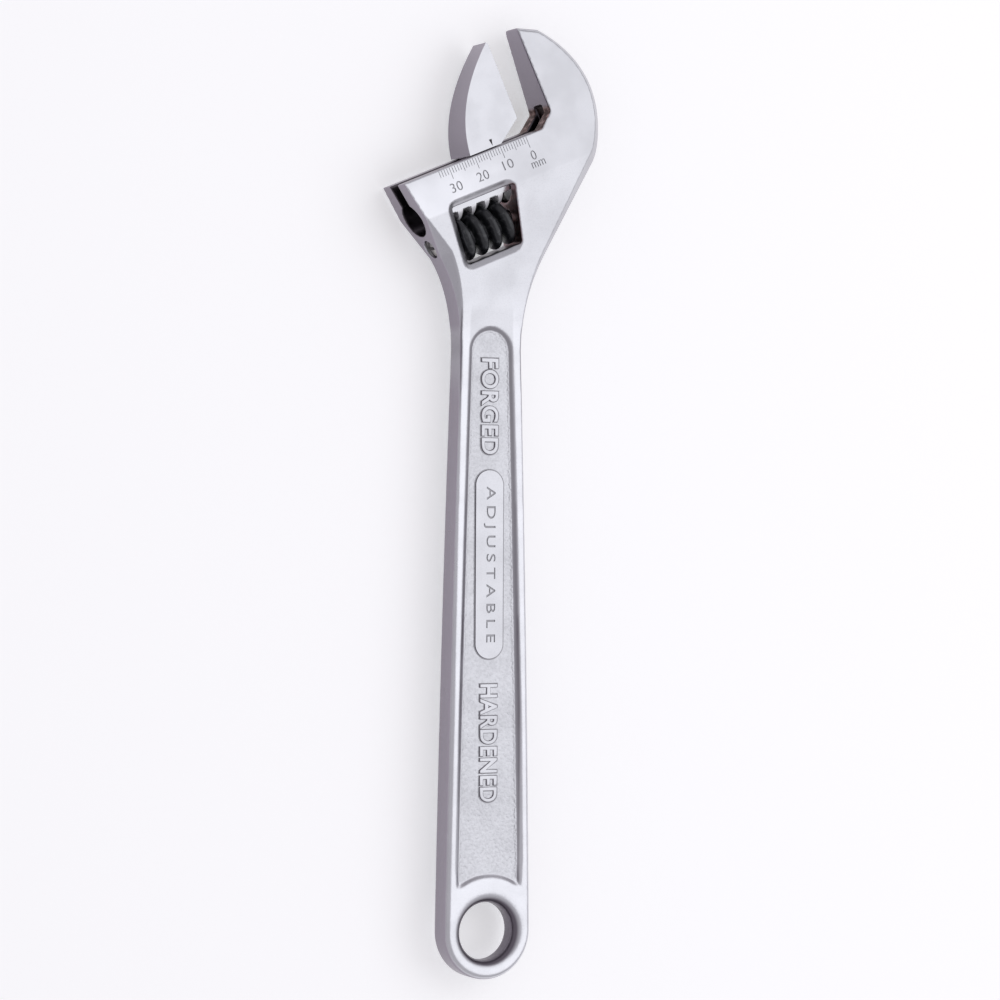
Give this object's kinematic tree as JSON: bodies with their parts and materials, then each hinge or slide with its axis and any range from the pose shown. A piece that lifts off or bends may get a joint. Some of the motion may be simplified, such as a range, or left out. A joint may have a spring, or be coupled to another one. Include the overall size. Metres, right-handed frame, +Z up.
{
  "type": "adjustable wrench",
  "caption": "Adjustable spanner with an angled head, a worm-driven sliding jaw, a millimetre scale, a recessed I-section handle and a hanging hole.",
  "frame": {"origin": "on the surface the wrench lies on, under the middle of its bounding box", "axes": "+Z up out of the scale face, -Y along the handle towards the head, +Y towards the hanging hole, -X to the fixed-jaw side of the handle"},
  "size_m": [0.073, 0.3088, 0.0188],
  "materials": {
    "chrome_forging": "satin chrome over forged steel, fine pebbled floor in the handle recess",
    "chrome_jaw": "satin chrome over forged steel, bright rack teeth",
    "black_oxide": "black oxide with an oil sheen",
    "bright_steel": "bare turned steel"
  },
  "bodies": {
    "body": {"handle_body": "chrome_forging", "worm_pin": "bright_steel", "worm_spring": "bright_steel"},
    "jaw": {"sliding_jaw": "chrome_jaw"},
    "worm": {"worm": "black_oxide"}
  },
  "joints": [
    {"name": "jaw_slide", "type": "slide", "parent": "body", "child": "jaw", "axis": [0.9239, 0.3827, 0], "range_m": [-0.0118, 0.022]},
    {"name": "worm_spin", "type": "hinge", "parent": "body", "child": "worm", "pos_m": [0.00568, -0.08843, 0.0094], "axis": [-0.9239, -0.3827, 0], "range_deg": [-820, 1526]}
  ],
  "couplings": [
    {"joint": "worm_spin", "follows": "jaw_slide", "rad_per_m": 1208.3}
  ]
}
